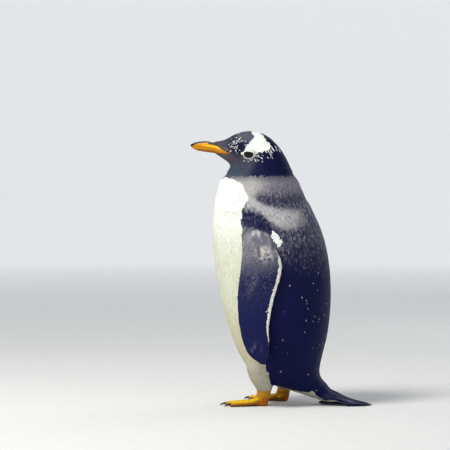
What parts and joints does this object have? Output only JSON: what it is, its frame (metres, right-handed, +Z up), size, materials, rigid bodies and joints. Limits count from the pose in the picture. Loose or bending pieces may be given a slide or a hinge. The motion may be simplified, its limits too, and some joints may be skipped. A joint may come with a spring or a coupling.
{
  "type": "gentoo penguin",
  "caption": "Life-size still model of a gentoo penguin standing at rest, flippers down, tail laid on the floor.",
  "frame": {"origin": "on the floor, under the middle of the bird's bounding box", "axes": "+Z up; the bird faces -Y, and +X is its left side"},
  "size_m": [0.202, 0.3348, 0.4909],
  "materials": {
    "hood_plumage": "short dense feathers, near black, with a white patch over the eye",
    "dark_plumage": "short dense feathers, slate, lighter on the shoulders",
    "white_plumage": "short dense feathers, satin white in front and slate black behind",
    "flipper_plumage": "tiny scale-like feathers, slate with a white trailing edge",
    "tail_feathers": "stiff dark feathers with shafts",
    "bill_horn": "satin orange horn with a black ridge and tip",
    "foot_skin": "scaled and wrinkled orange skin",
    "claw_horn": "dark horn",
    "eye": "wet and glossy, dark brown"
  },
  "bodies": {
    "root": {"head": "hood_plumage", "bill_upper": "bill_horn", "bill_lower": "bill_horn", "eye_left": "eye", "eye_right": "eye", "neck": "dark_plumage", "trunk": "white_plumage", "tail": "tail_feathers", "flipper_left": "flipper_plumage", "flipper_right": "flipper_plumage", "leg_left": "white_plumage", "leg_right": "white_plumage", "foot_left": "foot_skin", "foot_right": "foot_skin", "claw_left_inner": "claw_horn", "claw_left_middle": "claw_horn", "claw_left_outer": "claw_horn", "claw_left_hind": "claw_horn", "claw_right_inner": "claw_horn", "claw_right_middle": "claw_horn", "claw_right_outer": "claw_horn", "claw_right_hind": "claw_horn"}
  },
  "joints": []
}
